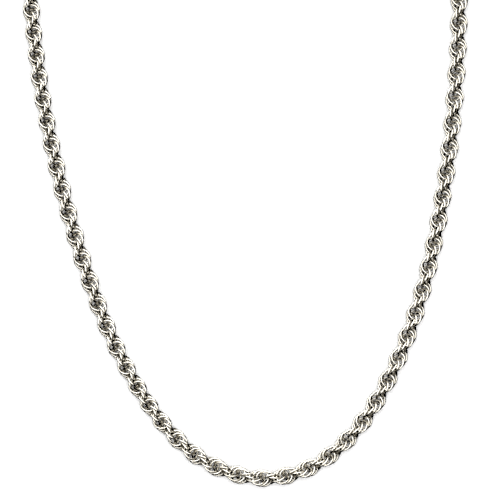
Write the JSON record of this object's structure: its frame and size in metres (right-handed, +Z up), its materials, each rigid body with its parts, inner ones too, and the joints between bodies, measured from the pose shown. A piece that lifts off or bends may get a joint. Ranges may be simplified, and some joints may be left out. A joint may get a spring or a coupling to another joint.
{
  "type": "rope chain necklace",
  "caption": "Neck chain of small round links woven into a twisted two-strand rope, laid flat in a long oval and closed at the back by a plain lobster clasp between two soldered end rings.",
  "frame": {"origin": "on the surface that the necklace lies on, under the middle of its box", "axes": "+Z up, out of the surface; +Y towards the clasp at the back of the neck, -Y towards the front of the loop; +X to the right with the clasp at the top"},
  "size_m": [0.1102, 0.1811, 0.0045],
  "materials": {
    "silver": "polished, faintly warm silver-coloured metal with fine wear"
  },
  "bodies": {
    "root": {"rope_chain": "silver", "left_end_ring": "silver", "right_end_ring": "silver", "clasp": "silver"}
  },
  "joints": []
}
